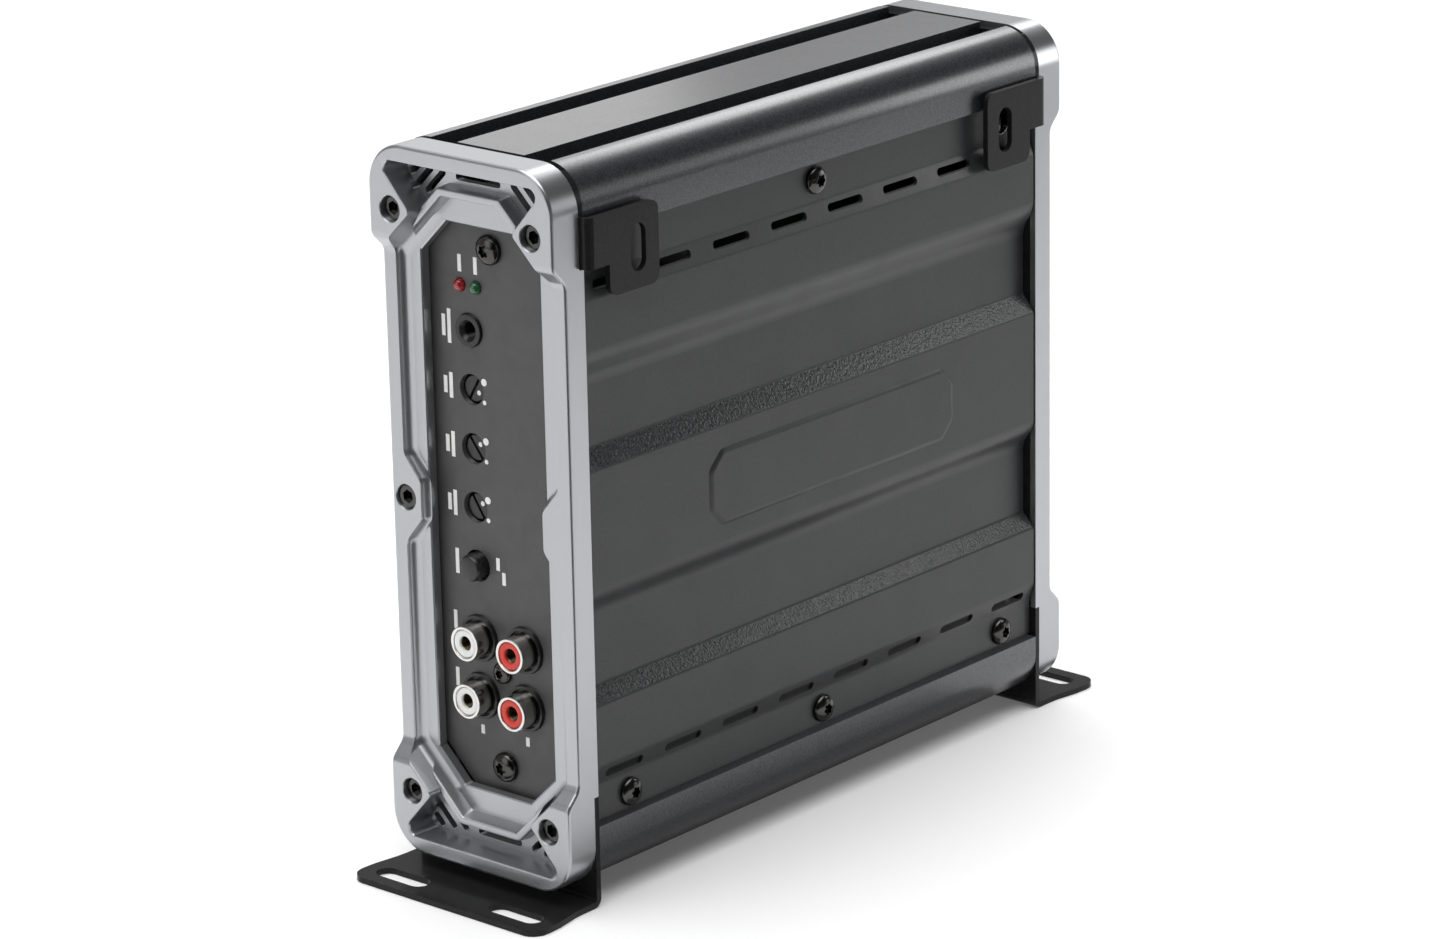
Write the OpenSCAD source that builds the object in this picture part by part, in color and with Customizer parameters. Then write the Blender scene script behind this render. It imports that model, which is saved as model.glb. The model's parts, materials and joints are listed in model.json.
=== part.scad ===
// Compact mono car amplifier, standing on its two sheet-steel brackets.
// X is the thickness (pressed cover at +X, heatsink at -X), Y the length
// (control end at -Y, power end at +Y), Z up. Millimetres.
// Z = 0 is the underside of the bracket feet; the origin is their middle.

/* [Body] */
// Overall thickness of the body, over the extrusion
body_w = 55; // [50:0.5:62]
// Overall height of the body, over the extrusion
body_h = 168; // [150:1:190]
// Half the length of the extrusion
half_len = 80.9; // [60:0.1:120]
// Outer corner radius of the extrusion
corner_r = 9.5; // [6:0.5:12]
// Depth of the two grooves in the top and bottom faces
groove_d = 5.5; // [3:0.5:7]

/* [End bezels] */
// How far each bezel stands out past the extrusion
bezel_d = 10.1; // [8:0.1:14]
// Step back of the bezel's middle length
bezel_step = 3.8; // [2:0.1:5]
// Depth from the bezel front to the face round the panel
face_d = 6.2; // [5:0.1:7]

/* [Brackets] */
// Sheet thickness of the brackets
sheet_t = 1.4; // [1:0.1:2]
// Gap between the body and the top of the feet
foot_gap = 3; // [2:0.5:8]
// Width of the slots in the feet
foot_slot_w = 5.2; // [4:0.1:6]
// Length of the slots in the feet
foot_slot_l = 15.2; // [10:0.1:20]
// Half the distance between the slots across the body
foot_slot_x = 17.6; // [12:0.1:20]
// Distance of the slots from the middle of the length
foot_slot_y = 98.6; // [96:0.1:100]

/* [Controls] */
// Centre line of the controls, from the middle of the thickness
ctl_x = -7.05; // [-9:0.05:-5]
// Pitch of the controls and the sockets
ctl_pitch = 13.85; // [13:0.05:15]
// Diameter of the trimmer rotors
rotor_d = 6.2; // [5:0.1:7]
// Travel of the input level button
button_travel = 2.2; // [1:0.1:3]

/* [View] */
// The sub-part to draw

/* [Hidden] */
$fn = 48;
zc = body_h / 2 + foot_gap + sheet_t;   // height of the body's middle
xc = -0.6;                              // puts the origin in the middle of the thickness
hw = body_w / 2;
hh = body_h / 2;
yf = half_len + bezel_d;                // bezel front plane, 91
web0 = half_len + sheet_t;              // outer face of the bracket web, 82.3
pan0 = 81.4;                            // outer face of the panels
scr_x = 21.1;                           // bezel corner screws
scr_z = 69;
mid_x = -23.2;                          // fifth bezel screw, on the heatsink side
mid_z = 0.5;
tab_x = 30.1;                           // outer face of the bracket tabs

module at() { translate([xc, 0, zc]) children(); }
// flat outline drawn in X and Z, from y0 to y1
module xz(y0, y1) { translate([0, y1, 0]) rotate([90, 0, 0]) linear_extrude(y1 - y0) children(); }
// flat outline drawn in Y and Z, from x0 to x1
module yz(x0, x1) { translate([x0, 0, 0]) rotate([90, 0, 90]) linear_extrude(x1 - x0) children(); }
// flat outline drawn in X and Y, from z0 to z1
module xy(z0, z1) { translate([0, 0, z0]) linear_extrude(z1 - z0) children(); }
module ycyl(r, y0, y1, x, z) { translate([x, y0, z]) rotate([-90, 0, 0]) cylinder(r = r, h = y1 - y0); }
module xcyl(r, x0, x1, y, z) { translate([x0, y, z]) rotate([0, 90, 0]) cylinder(r = r, h = x1 - x0); }
module box(x0, x1, y0, y1, z0, z1) { translate([x0, y0, z0]) cube([x1 - x0, y1 - y0, z1 - z0]); }
module rect(x0, x1, y0, y1) { translate([x0, y0]) square([x1 - x0, y1 - y0]); }
module rrect(w, h, r) {
  union() {
    square([w - 2 * r, h], center = true);
    square([w, h - 2 * r], center = true);
    for (i = [-1, 1]) {
      for (j = [-1, 1]) translate([i * (w / 2 - r), j * (h / 2 - r)]) circle(r);
    }
  }
}
module slot2d(l, w) {
  union() {
    square([l - w, w], center = true);
    for (i = [-1, 1]) translate([i * (l - w) / 2, 0]) circle(w / 2);
  }
}
// eight-sided outline: half width a, half height b, corners cut by c
module oct(a, b, c) {
  polygon([[a, b - c], [a - c, b], [c - a, b], [-a, b - c], [-a, c - b], [c - a, -b], [a - c, -b], [a, c - b]]);
}
module dome(a, h) {
  // low round screw head standing on z = 0
  r = (a * a + h * h) / (2 * h);
  intersection() {
    translate([0, 0, h - r]) sphere(r);
    cylinder(r = a, h = h + 1);
  }
}
module star(w, d) {
  // driver socket, two crossed triangles
  for (t = [0, 60]) rotate([0, 0, t]) cylinder(r = w, h = d, $fn = 3);
}
module pan_screw(a, h, r, l, s) {
  // head on z = 0 pointing up, shank down
  difference() {
    union() {
      dome(a, h);
      translate([0, 0, -l]) cylinder(r = r, h = l + 0.2);
    }
    translate([0, 0, h - 1.1]) star(s, 2);
  }
}

/* ---------------- extrusion ---------------- */
module ext_profile() {
  difference() {
    rrect(body_w, body_h, corner_r);
    // open side, closed by the cover
    rect(24.7, 40, -69.3, 68.4);
    // main chamber
    rect(-21, 30, -60.6, 60.6);
    rect(-17, 15.5, -75.8, 75.8);
    rect(-21, 15.5, -64, 64);
    // hollow of the raised strip, top and bottom
    rect(-7.1, 8.6, -81.2, 81.2);
    for (s = [-1, 1]) {
      // grooves in the top and bottom faces
      rect(-17.3, -9.3, min(s * (hh - groove_d), s * 90), max(s * (hh - groove_d), s * 90));
      rect(10.8, 18.7, min(s * (hh - groove_d), s * 90), max(s * (hh - groove_d), s * 90));
      // lightening in the cover-side corners
      translate([22.4, s * 77.2]) rrect(3.6, 6, 1.2);
      // bezel screw holes
      for (i = [-1, 1]) translate([i * scr_x, s * scr_z]) circle(1.65);
      // grooves of the main face
      for (k = [0:4]) translate([-hw, s * (20 + 11 * k)]) square([7, 5.5], center = true);
    }
    translate([mid_x, mid_z]) circle(1.65);
  }
  // ribs that carry the transistors
  for (s = [-1, 1]) translate([-4.75, s * 68]) square([25.5, 4], center = true);
}
module heatsink_extrusion() {
  color([0.2, 0.21, 0.22]) at() difference() {
    xz(-half_len, half_len) ext_profile();
    for (y = [-68.5, 0, 68.5]) {
      xcyl(1.65, 12, 30, y, 63.9);
      xcyl(1.65, 12, 30, y, -64.7);
    }
    for (y = [-62, 0, 62]) {
      for (z = [-50, 50]) xcyl(1.3, -23.7, -20, y, z);
    }
    for (s = [-1, 1]) {
      for (y = [-48, -16, 16, 48]) translate([2, y, s * 64]) cylinder(r = 1.3, h = 12, center = true);
      // the ribs stop short of the panels
      for (m = [-1, 1]) translate([-1, m * 76.4, s * 68]) cube([32, 9.2, 14], center = true);
    }
  }
}

/* ---------------- cover ---------------- */
module cover_profile() {
  p = [[25.8, 68.1], [25.8, 58.6], [27.25, 53.4], [27.25, 40.2], [24, 34.5], [24, 18.6], [27.25, 14.2],
    [27.25, -14.9], [24, -19.4], [24, -37.2], [27.25, -40.9], [27.25, -55.2], [25.8, -59.9], [25.8, -68.6]];
  n = len(p);
  polygon(concat(p, [for (i = [n - 1:-1:0]) [p[i][0] - 1.1, p[i][1]]]));
}
module bottom_cover() {
  color([0.17, 0.17, 0.18]) at() difference() {
    union() {
      xz(-80.5, 80.5) cover_profile();
      // plain raised badge pad, left blank
      yz(26.7, 27.8) translate([4, 0]) oct(44, 8.5, 4);
    }
    for (i = [0:7]) {
      for (z = [56.3, -57.7]) yz(20, 30) translate([(i - 3.5) * 20.23, z]) slot2d(12.6, 2.1);
    }
    for (y = [-68.5, 0, 68.5]) {
      xcyl(1.9, 20, 30, y, 63.9);
      xcyl(1.9, 20, 30, y, -64.7);
    }
  }
}
module cover_screws() {
  color([0.25, 0.25, 0.26]) at() for (y = [-68.5, 0, 68.5]) {
    for (z = [63.9, -64.7]) translate([25.8, y, z]) rotate([0, 90, 0]) pan_screw(3.35, 2.1, 1.6, 9, 1.25);
  }
}

/* ---------------- bezels ---------------- */
module window2d(s) {
  polygon([[-20.8, s * 80.1], [20.8, s * 80.1], [22.7, s * 78.5], [22.5, s * 77.2], [15.4, s * 69],
    [-15.4, s * 69], [-22.5, s * 77.2], [-22.7, s * 78.5]]);
}
module bulges() {
  for (i = [-1, 1]) {
    polygon([[i * 24, mid_z - 10.1], [i * 19, mid_z - 3.9], [i * 19, mid_z + 3.9], [i * 24, mid_z + 10.1]]);
  }
}
module web_outline(g) {
  // bracket web; g is the clearance of the pocket that takes it
  union() {
    intersection() {
      rrect(body_w + 2 * g, body_h + 2 * g, corner_r);
      rect(-30, 30, 61 - g, 82.4 + g);
    }
    rect(-25.8 - g, 25.8 + g, -63, 62);
    rect(-hw - g, hw + g, -hh - 0.5, -62 + g);
  }
}
module vents2d(s) {
  translate([0, s * 77.3]) slot2d(13.4, 1.6);
  for (i = [-1, 1]) {
    for (d = [0, 1, 2]) intersection() {
      // slanted slots that follow the corner of the ridge
      translate([i * (44.1 + 2.1 * d), s * (44.1 + 2.1 * d)]) rotate([0, 0, -45 * i * s]) square([90, 1.7], center = true);
      polygon([[i * (9.5 + d * 2.2), s * 78.4], [i * 20.4, s * 78.4], [i * 20.4, s * 77.6],
        [i * 14.6, s * 72.2], [i * (9.5 + d * 2.2), s * 72.2]]);
    }
  }
}
module bezel() {
  difference() {
    xz(-yf, -half_len) rrect(body_w, body_h, 10);
    // middle length stepped back
    yz(-30, 30) polygon([[-yf - 1, -63.3], [-yf, -62.3], [-yf + bezel_step, -58.5],
      [-yf + bezel_step, 58.5], [-yf, 62.3], [-yf - 1, 63.3]]);
    for (s = [-1, 1]) {
      // windows: down to the ridge, then to the vented floor outside it
      xz(-yf - 1, -yf + 2.9) window2d(s);
      xz(-yf - 1, -yf + 6.8) difference() {
        window2d(s);
        oct(40, 75, 30.8);
      }
      xz(-yf - 1, -half_len + 1) difference() {
        vents2d(s);
        oct(40, 75.3, 30.8);
      }
      for (i = [-1, 1]) {
        ycyl(3.2, -yf - 1, -yf + 4.2, i * scr_x, s * scr_z);
        ycyl(1.8, -yf - 1, -half_len + 1, i * scr_x, s * scr_z);
        // boss flank
        xz(-yf - 1, -yf + face_d) polygon([[i * 13.4, s * 68], [i * 14.6, s * 68.4], [i * 23.43, s * 59.57],
          [i * 23.43, s * 56], [i * 20, s * 56]]);
      }
    }
    ycyl(3.2, -yf - 1, -yf + 3.6 + bezel_step, mid_x, mid_z);
    ycyl(1.8, -yf - 1, -half_len + 1, mid_x, mid_z);
    // recess round the panel
    xz(-yf - 1, -yf + face_d) difference() {
      oct(23.43, 73.2, 15.18);
      bulges();
    }
    xz(-yf - 1, -half_len + 1) oct(17.9, 66.7, 7.7);
    // pocket for the bracket web
    xz(-web0 - 0.05, -half_len + 1) web_outline(0.12);
  }
}
module front_bezel() { color([0.62, 0.63, 0.65]) at() bezel(); }
module rear_bezel() { color([0.62, 0.63, 0.65]) at() mirror([0, 1, 0]) bezel(); }
module cap_screw() {
  // socket head screw, head on z = 0 pointing up
  difference() {
    union() {
      cylinder(r = 2.75, h = 2.6);
      translate([0, 0, -18]) cylinder(r = 1.6, h = 18.2);
    }
    translate([0, 0, 1]) cylinder(r = 1.45, h = 2, $fn = 6);
  }
}
module bezel_screws() {
  for (i = [-1, 1]) {
    for (s = [-1, 1]) translate([i * scr_x, -yf + 4.2, s * scr_z]) rotate([90, 0, 0]) cap_screw();
  }
  translate([mid_x, -yf + 3.6 + bezel_step, mid_z]) rotate([90, 0, 0]) cap_screw();
}
module front_bezel_screws() { color([0.1, 0.1, 0.1]) at() bezel_screws(); }
module rear_bezel_screws() { color([0.1, 0.1, 0.1]) at() mirror([0, 1, 0]) bezel_screws(); }

/* ---------------- brackets ---------------- */
module bend_corner(ro, t) {
  // quarter ring, centre at the origin, filling the x>0, y<0 quadrant
  intersection() {
    difference() {
      circle(ro);
      circle(ro - t);
    }
    rect(0, ro + 1, -ro - 1, 0);
  }
}
module foot2d() {
  // outline of a foot in X and Y, with a gentle flare at both sides
  y0 = -104.6;
  difference() {
    union() {
      polygon([[-hw, -84.5], [hw, -84.5], [hw, -87], [27.7, -90], [28.2, -93], [28.7, -96], [28.9, -99], [28.9, y0 + 4],
        [24.9, y0 + 4], [24.9, y0], [-24.9, y0], [-24.9, y0 + 4], [-28.9, y0 + 4], [-28.9, -99], [-28.7, -96],
        [-28.2, -93], [-27.7, -90], [-hw, -87]]);
      for (i = [-1, 1]) translate([i * 24.9, y0 + 4]) circle(4);
    }
    for (i = [-1, 1]) translate([i * foot_slot_x, -foot_slot_y]) slot2d(foot_slot_l, foot_slot_w);
  }
}
module bracket() {
  t = sheet_t;
  zf = -hh - foot_gap;      // top of the foot
  difference() {
    union() {
      // web
      xz(-web0, -half_len) difference() {
        union() {
          web_outline(0);
          rect(-hw, hw, zf + 0.8, -hh + 1);
        }
        oct(20.1, 69, 10.5);
        for (s = [-1, 1]) rect(-16.4, 16.4, min(s * 60, s * 79), max(s * 60, s * 79));
      }
      // foot with its bend
      xy(zf - t, zf) foot2d();
      yz(-hw, hw) translate([-web0 - 0.8, zf + 0.8]) bend_corner(0.8 + t, t);
      xy(zf - t, zf) rect(-hw, hw, -web0 - 2.5, -web0 - 0.8);
      // tab with its bend
      xy(61.2, 72.8) union() {
        rect(26, tab_x - 2.2, -web0, -half_len);
        translate([tab_x - 2.2, -web0 + 2.2]) bend_corner(2.2, t);
        rect(tab_x - t, tab_x, -web0 + 2.2, -70);
      }
      yz(tab_x - t, tab_x) difference() {
        union() {
          translate([-67.15, 63.3]) rrect(16.3, 19, 2.4);
          rect(-76.5, -72, 61.2, 72.8);
        }
        translate([-65.8, 63.1]) rotate([0, 0, 90]) slot2d(10.9, 5);
      }
    }
    for (i = [-1, 1]) {
      for (s = [-1, 1]) ycyl(1.8, -90, -75, i * scr_x, s * scr_z);
    }
    ycyl(1.8, -90, -75, mid_x, mid_z);
  }
}
module mount_bracket_front() { color([0.06, 0.06, 0.06]) at() bracket(); }
module mount_bracket_rear() { color([0.06, 0.06, 0.06]) at() mirror([0, 1, 0]) bracket(); }

/* ---------------- control end ---------------- */
jack_z = 41.3;
rca_z = [-31.4, -31.4 - ctl_pitch];
rca_x = [ctl_x, ctl_x + ctl_pitch];
pot_z = [jack_z - ctl_pitch, jack_z - 2 * ctl_pitch, jack_z - 3 * ctl_pitch];
btn_z = jack_z - 4 * ctl_pitch;
led_z = 51.5;
module panel_plate() { xz(-pan0, -pan0 + 1.5) oct(19.6, 68.4, 10.5); }
module front_panel() {
  color([0.2, 0.2, 0.2]) at() difference() {
    panel_plate();
    for (z = [-61, 61]) ycyl(1.8, -90, -70, 0, z);
    for (x = [-9.45, -4.65]) ycyl(1.6, -90, -70, x, led_z);
    ycyl(3.95, -90, -70, ctl_x, jack_z);
    for (z = pot_z) ycyl(3.6, -90, -70, ctl_x, z);
    ycyl(3.7, -90, -70, ctl_x, btn_z);
    for (x = rca_x) {
      for (z = rca_z) ycyl(5.5, -90, -70, x, z);
    }
    ycyl(1.6, -90, -70, -0.12, -38.3);
  }
}
module panel_screws() {
  for (z = [-61, 61]) translate([0, -pan0, z]) rotate([90, 0, 0]) pan_screw(3.5, 2.4, 1.6, 8, 1.3);
}
module front_panel_screws() { color([0.15, 0.15, 0.15]) at() panel_screws(); }
module rear_panel_screws() { color([0.15, 0.15, 0.15]) at() mirror([0, 1, 0]) panel_screws(); }
module mark(x, z, l) {
  translate([x, z]) square([1.1, l], center = true);
}
module panel_marks() {
  // printed range dots and plain bars beside the controls
  color([0.9, 0.9, 0.9]) at() xz(-pan0 - 0.1, -pan0) union() {
    for (z = pot_z) {
      translate([ctl_x + 3.92, z + 2.35]) circle(0.85);
      translate([ctl_x + 3.92, z - 2.4]) circle(0.55);
      mark(ctl_x - 6.2, z, 6);
      mark(ctl_x - 7.9, z, 4);
    }
    for (x = [-9.45, -4.65]) mark(x, led_z + 5, 4);
    mark(ctl_x - 6.2, jack_z, 8);
    mark(ctl_x - 7.9, jack_z, 5);
    mark(ctl_x - 6.2, btn_z, 6);
    mark(ctl_x + 6.4, btn_z + 1.6, 3);
    mark(ctl_x + 8.1, btn_z - 1.6, 3);
    for (z = rca_z) mark(ctl_x - 7.4, z + 3, 4.5);
    for (x = rca_x) mark(x, rca_z[1] - 8.2, 2.2);
  }
}
module led(x, c) {
  color(c) at() translate([x, -pan0, led_z]) union() {
    rotate([90, 0, 0]) intersection() {
      translate([0, 0, -0.4]) sphere(1.5);
      cylinder(r = 1.5, h = 3);
    }
    rotate([-90, 0, 0]) cylinder(r = 1.5, h = 4);
    rotate([-90, 0, 0]) translate([0, 0, 2]) cylinder(r = 1.9, h = 1.2);
  }
}
module protect_led() { led(-9.45, [0.6, 0.02, 0.02]); }
module power_led() { led(-4.65, [0.05, 0.35, 0.12]); }
module remote_jack() {
  color([0.08, 0.08, 0.08]) at() difference() {
    union() {
      ycyl(3.8, -pan0 - 0.8, -78, ctl_x, jack_z);
      box(ctl_x - 5.2, ctl_x + 5.2, -79.6, -66.5, jack_z - 5.2, jack_z + 5.2);
    }
    ycyl(1.8, -90, -68.5, ctl_x, jack_z);
    translate([ctl_x, -pan0 - 0.9, jack_z]) rotate([-90, 0, 0]) cylinder(r1 = 2.5, r2 = 1.8, h = 1.1);
  }
}
module trimmer_bodies() {
  color([0.1, 0.1, 0.1]) at() for (z = pot_z) difference() {
    box(ctl_x - 5, ctl_x + 5, -78.4, -71.5, z - 4.8, z + 4.8);
    ycyl(2.05, -80, -73.5, ctl_x, z);
  }
}
module rotor(z, a) {
  // pointer direction a, measured from +X towards +Z
  color([0.22, 0.22, 0.22]) at() translate([ctl_x, -80.4, z]) rotate([0, -a, 0]) difference() {
    union() {
      rotate([-90, 0, 0]) cylinder(d = rotor_d, h = 1.6);
      rotate([-90, 0, 0]) cylinder(r = 2, h = 6.4);
    }
    box(-0.55, 0.55, -1, 0.8, -5, 5);
  }
}
module bass_boost_rotor() { rotor(pot_z[0], -31); }
module crossover_rotor() { rotor(pot_z[1], 38); }
module gain_rotor() { rotor(pot_z[2], 34); }
module level_switch_body() {
  color([0.1, 0.1, 0.1]) at() difference() {
    box(ctl_x - 5, ctl_x + 5, -79.2, -64, btn_z - 5, btn_z + 5);
    ycyl(3.5, -90, -73.6, ctl_x, btn_z);
    ycyl(2.05, -90, -67, ctl_x, btn_z);
  }
}
module level_button() {
  color([0.13, 0.13, 0.13]) at() union() {
    ycyl(3.15, -84.6, -77, ctl_x, btn_z);
    ycyl(2, -77.5, -70, ctl_x, btn_z);
  }
}
module rca_housing() {
  color([0.06, 0.06, 0.06]) at() difference() {
    union() {
      for (x = rca_x) {
        for (z = rca_z) ycyl(5.4, -pan0 - 0.9, -79, x, z);
      }
      box(-12.3, 12.4, -79.8, -68, rca_z[1] - 7.2, rca_z[0] + 7.2);
    }
    for (x = rca_x) {
      for (z = rca_z) {
        ycyl(4.75, -90, -81, x, z);
        ycyl(4.1, -90, -75, x, z);
      }
    }
    ycyl(1.3, -90, -72, -0.12, -38.3);
  }
}
module rca_each() {
  for (x = rca_x) {
    for (z = rca_z) translate([x, 0, z]) children();
  }
}
module rca_shells() {
  color([0.75, 0.73, 0.7]) at() rca_each() difference() {
    union() {
      ycyl(4.15, -86.8, -82.3, 0, 0);
      ycyl(4.05, -82.4, -75.2, 0, 0);
    }
    ycyl(3.3, -90, -74, 0, 0);
  }
}
module rca_insert() {
  difference() {
    ycyl(3.25, -86.5, -75.4, 0, 0);
    ycyl(1.7, -90, -82.9, 0, 0);
    ycyl(2.25, -83, -76.9, 0, 0);
    translate([0, -86.6, 0]) rotate([-90, 0, 0]) cylinder(r1 = 2.3, r2 = 1.7, h = 1.2);
  }
}
module rca_inserts_white() { color([0.92, 0.92, 0.9]) at() for (z = rca_z) translate([rca_x[0], 0, z]) rca_insert(); }
module rca_inserts_red() { color([0.8, 0.08, 0.05]) at() for (z = rca_z) translate([rca_x[1], 0, z]) rca_insert(); }
module rca_contacts() {
  color([0.7, 0.55, 0.25]) at() rca_each() difference() {
    ycyl(2.2, -82.95, -77, 0, 0);
    ycyl(1.7, -84, -77.6, 0, 0);
  }
}
module rca_screw() {
  color([0.15, 0.15, 0.15]) at() translate([-0.12, -pan0, -38.3]) rotate([90, 0, 0]) pan_screw(2.6, 1.7, 1.25, 8, 1);
}

/* ---------------- power end ---------------- */
pw_z = [49, 36.5, 24];
sp_z = [-19, -29, -39, -49];
module rear_panel() {
  color([0.2, 0.2, 0.2]) at() difference() {
    mirror([0, 1, 0]) panel_plate();
    for (z = [-61, 61]) ycyl(1.8, 70, 90, 0, z);
    box(-9.3, 9.3, 70, 90, 17.2, 55.8);
    box(-9.3, 9.3, 70, 90, -54.3, -13.7);
    box(-11.3, 11.3, 70, 90, -7.8, 12.3);
  }
}
module terminal_block(zs, hz, px, pz, r) {
  // wire ports below, clamp screws above, all reached from the end
  difference() {
    box(-9, 9, 66, 84.4, zs[len(zs) - 1] - hz, zs[0] + hz);
    for (z = zs) {
      box(3.2 - px, 3.2 + px, 68, 90, z - pz, z + pz);
      ycyl(r, 68, 90, -5.2, z);
    }
  }
}
module power_terminal_block() { color([0.05, 0.05, 0.05]) at() terminal_block(pw_z, 6, 4.3, 4.4, 2.9); }
module speaker_terminal_block() { color([0.05, 0.05, 0.05]) at() terminal_block(sp_z, 4.9, 3.3, 3.2, 2.6); }
module clamp_plates(zs, px, pz) {
  // plated jaw at the inner end of each wire port
  for (z = zs) difference() {
    box(3.2 - px + 0.1, 3.2 + px - 0.1, 68.1, 74, z - pz + 0.1, z + pz - 0.1);
    box(3.2 - px + 1.1, 3.2 + px - 1.1, 69, 90, z - pz + 1.1, z + pz - 1.1);
  }
}
module power_terminal_clamps() { color([0.7, 0.6, 0.35]) at() clamp_plates(pw_z, 4.3, 4.4); }
module speaker_terminal_clamps() { color([0.7, 0.6, 0.35]) at() clamp_plates(sp_z, 3.3, 3.2); }
module clamp_screw_set(zs, r) {
  for (z = zs) difference() {
    ycyl(r, 68.2, 83.2, -5.2, z);
    translate([-5.2, 81.4, z]) rotate([-90, 0, 0]) cylinder(r = 1.5, h = 3, $fn = 6);
  }
}
module power_terminal_screws() { color([0.6, 0.6, 0.6]) at() clamp_screw_set(pw_z, 2.8); }
module speaker_terminal_screws() { color([0.6, 0.6, 0.6]) at() clamp_screw_set(sp_z, 2.5); }
fuse_z = [7.2, -2.7];
module fuse_holder() {
  color([0.05, 0.05, 0.05]) at() difference() {
    box(-11, 11, 62, 83, -7.5, 12);
    for (z = fuse_z) {
      box(-9.7, 9.7, 76.4, 90, z - 2.9, z + 2.9);
      for (x = [-7.2, 7.2]) box(x - 2.8, x + 2.8, 64, 80, z - 0.7, z + 0.7);
    }
  }
}
module blade_fuse(z) {
  union() {
    box(-9.3, 9.3, 76.8, 88.6, z - 1.9, z + 1.9);
    box(-8.2, 8.2, 76.8, 87.6, z - 2.5, z + 2.5);
    for (x = [-7.2, 7.2]) box(x - 2.4, x + 2.4, 69.4, 77, z - 0.32, z + 0.32);
  }
}
module fuse_upper() { color([0.85, 0.5, 0.05]) at() blade_fuse(fuse_z[0]); }
module fuse_lower() { color([0.85, 0.5, 0.05]) at() blade_fuse(fuse_z[1]); }

/* ---------------- inside ---------------- */
pcb_x = -12.4;
module circuit_board() {
  color([0.05, 0.25, 0.12]) at() difference() {
    yz(pcb_x - 1.6, pcb_x) square([156, 124], center = true);
    for (y = [-62, 0, 62]) {
      for (z = [-50, 50]) xcyl(1.7, -30, 0, y, z);
    }
  }
}
module board_standoffs() {
  color([0.6, 0.5, 0.25]) at() for (y = [-62, 0, 62]) {
    for (z = [-50, 50]) difference() {
      xcyl(3, -20.95, pcb_x - 1.65, y, z);
      xcyl(1.7, -25, 0, y, z);
    }
  }
}
module board_screws() {
  color([0.6, 0.6, 0.6]) at() for (y = [-62, 0, 62]) {
    for (z = [-50, 50]) translate([pcb_x, y, z]) rotate([0, 90, 0]) pan_screw(2.7, 1.7, 1.25, 11, 1);
  }
}
module panel_mount_blocks() {
  // threaded blocks on the board edge that hold the two end panels
  color([0.7, 0.7, 0.72]) at() for (m = [0, 1]) mirror([0, m, 0]) for (z = [-61, 61]) difference() {
    union() {
      box(-3, 3, -79.8, -73.6, z - 1, z + 1);
      box(-4, 4, -79.8, -73.6, z - 0.8, z + 0.8);
      box(-10.4, 3, -79.8, -73.6, min(z - sign(z) * 5, z + sign(z) * 2.6), max(z - sign(z) * 5, z + sign(z) * 2.6));
      box(-12.3, -9.4, -79.8, -73.6, min(sign(z) * 54, sign(z) * 57.5), max(sign(z) * 54, sign(z) * 57.5));
    }
    ycyl(1.65, -90, -70, 0, z);
  }
}
tr_y = [-60, -38, -27, -6, 5, 26, 37, 58];
module power_transistors() {
  color([0.07, 0.07, 0.07]) at() for (s = [-1, 1]) {
    for (y = tr_y) union() {
      box(-9, 0, y - 5, y + 5, min(s * 65.7, s * 62.4), max(s * 65.7, s * 62.4));
      box(-9, 6.4, y - 5, y + 5, min(s * 65.9, s * 64.8), max(s * 65.9, s * 64.8));
      for (d = [-2.54, 0, 2.54]) box(-15, -8.8, y + d - 0.4, y + d + 0.4, min(s * 63.9, s * 63.3), max(s * 63.9, s * 63.3));
    }
  }
}
module clamp_bars() {
  color([0.5, 0.5, 0.52]) at() for (s = [-1, 1]) difference() {
    box(-6, 5, -67, 67, min(s * 62.3, s * 60.5), max(s * 62.3, s * 60.5));
    for (y = [-48, -16, 16, 48]) translate([2, y, s * 64]) cylinder(r = 1.7, h = 12, center = true);
  }
}
module clamp_screws() {
  color([0.55, 0.55, 0.55]) at() for (s = [-1, 1]) {
    for (y = [-48, -16, 16, 48]) translate([2, y, s * 60.5]) rotate([s > 0 ? 180 : 0, 0, 0]) pan_screw(2.7, 1.6, 1.25, 9, 1);
  }
}
module transformer_core() {
  color([0.2, 0.2, 0.2]) at() translate([pcb_x + 1.2, 28, 20]) rotate([0, 90, 0]) difference() {
    cylinder(r = 17, h = 15);
    translate([0, 0, -1]) cylinder(r = 9, h = 17);
  }
}
module transformer_winding() {
  // copper turns over the ring, in two halves
  color([0.7, 0.35, 0.12]) at() translate([pcb_x + 1.2, 28, 20]) rotate([0, 90, 0]) for (a = [8, 188]) rotate([0, 0, a]) {
    rotate_extrude(angle = 164) difference() {
      translate([6.9, -1.1]) square([12.2, 17.2]);
      translate([8.9, -0.1]) square([8.2, 15.2]);
    }
  }
}
module output_choke() {
  color([0.65, 0.3, 0.1]) at() translate([pcb_x + 0.1, 40, -28]) rotate([0, 90, 0]) difference() {
    cylinder(r = 13, h = 13);
    translate([0, 0, -1]) cylinder(r = 5.5, h = 15);
  }
}
module filter_capacitors() {
  color([0.1, 0.12, 0.3]) at() for (p = [[-10, 36], [-10, 15], [-12, -30], [8, -30], [-34, -30]]) {
    translate([pcb_x + 0.1, p[0], p[1]]) rotate([0, 90, 0]) union() {
      cylinder(r = 8, h = 29);
      translate([0, 0, 1]) cylinder(r = 8.3, h = 1.6);
    }
  }
}
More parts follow.
